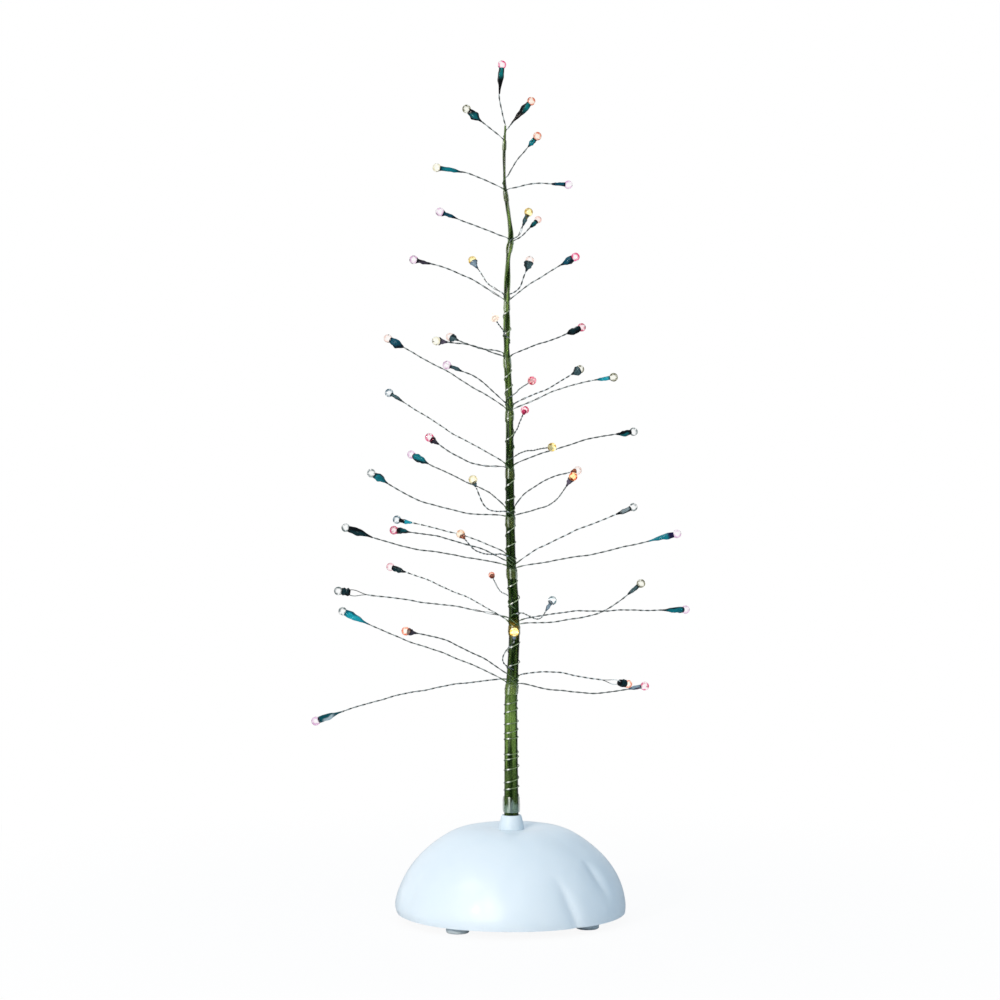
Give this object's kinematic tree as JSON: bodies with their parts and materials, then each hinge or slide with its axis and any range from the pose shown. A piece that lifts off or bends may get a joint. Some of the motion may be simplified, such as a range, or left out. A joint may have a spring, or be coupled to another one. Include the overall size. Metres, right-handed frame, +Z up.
{
  "type": "lighted miniature tree",
  "caption": "Miniature tree of bound and twisted wire with bulb-tipped branches, on a snow-mound base that holds a battery bay and a slide switch.",
  "frame": {"origin": "on the floor under the middle of the base, where the feet stand", "axes": "+Z up along the trunk, +X to the right of the pictured view, +Y away from it"},
  "size_m": [0.1315, 0.0927, 0.3],
  "materials": {
    "snow_plastic": "satin moulded plastic, pale icy blue-white",
    "collar_plastic": "satin moulded plastic",
    "cover_plastic": "fine moulded texture",
    "screw_steel": "zinc plated",
    "foot_rubber": "soft matt rubber",
    "cell_jacket": "plain film jacket on a metal can",
    "contact_steel": "nickel plated",
    "switch_plastic": "moulded, matt",
    "terminal_brass": "tinned",
    "red_lead": "soft insulation",
    "black_lead": "soft insulation",
    "splice_plastic": "moulded nylon",
    "hot_melt": "set hot melt",
    "support_steel": "drawn wire",
    "bundle_lacquer": "lacquered wire strands",
    "green_film": "translucent green film",
    "binding_lacquer": "lacquered fine wire",
    "clear_film": "clear shrink film",
    "branch_wire": "lacquered twisted pair",
    "shrink_sleeve": "crinkled shrink film, dark teal",
    "clear_glass": "clear, lit",
    "pink_glass": "pink tint, lit",
    "red_glass": "red tint, lit",
    "amber_glass": "amber tint, lit",
    "peach_glass": "peach tint, lit",
    "blue_glass": "blue tint, lit"
  },
  "bodies": {
    "tree": {"base_shell": "snow_plastic", "trunk_collar": "collar_plastic", "cover_plate": "cover_plastic", "cover_screws": "screw_steel", "rubber_feet": "foot_rubber", "battery_cells": "cell_jacket", "contact_springs": "contact_steel", "contact_plates": "contact_steel", "link_plates": "contact_steel", "switch_can": "contact_steel", "switch_terminals": "terminal_brass", "positive_lead": "red_lead", "switched_lead": "red_lead", "negative_lead": "black_lead", "splice_caps": "splice_plastic", "lamp_tails": "bundle_lacquer", "glue_plug": "hot_melt", "support_wire": "support_steel", "wire_bundle": "bundle_lacquer", "trunk_film": "green_film", "binding_wire": "binding_lacquer", "foot_tube": "clear_film", "tier_bands": "clear_film", "tier_01_wires": "branch_wire", "tier_02_wires": "branch_wire", "tier_03_wires": "branch_wire", "tier_04_wires": "branch_wire", "tier_05_wires": "branch_wire", "tier_06_wires": "branch_wire", "tier_07_wires": "branch_wire", "tier_08_wires": "branch_wire", "tier_09_wires": "branch_wire", "tier_10_wires": "branch_wire", "tier_11_wires": "branch_wire", "tier_01_sleeves": "shrink_sleeve", "tier_02_sleeves": "shrink_sleeve", "tier_03_sleeves": "shrink_sleeve", "tier_04_sleeves": "shrink_sleeve", "tier_05_sleeves": "shrink_sleeve", "tier_06_sleeves": "shrink_sleeve", "tier_07_sleeves": "shrink_sleeve", "tier_08_sleeves": "shrink_sleeve", "tier_09_sleeves": "shrink_sleeve", "tier_10_sleeves": "shrink_sleeve", "tier_11_sleeves": "shrink_sleeve", "clear_bulbs": "clear_glass", "pink_bulbs": "pink_glass", "red_bulbs": "red_glass", "amber_bulbs": "amber_glass", "peach_bulbs": "peach_glass", "blue_bulbs": "blue_glass"},
    "door": {"battery_door": "cover_plastic"},
    "slider": {"switch_slider": "switch_plastic"}
  },
  "joints": [
    {"name": "door_hinge", "type": "hinge", "parent": "tree", "child": "door", "pos_m": [-0.02428, -0.00428, 0.0035], "axis": [-0.1736, 0.9848, 0], "range_deg": [0, 95]},
    {"name": "switch_slide", "type": "slide", "parent": "tree", "child": "slider", "axis": [0.9848, 0.1736, 0], "range_m": [0, 0.0025]}
  ]
}
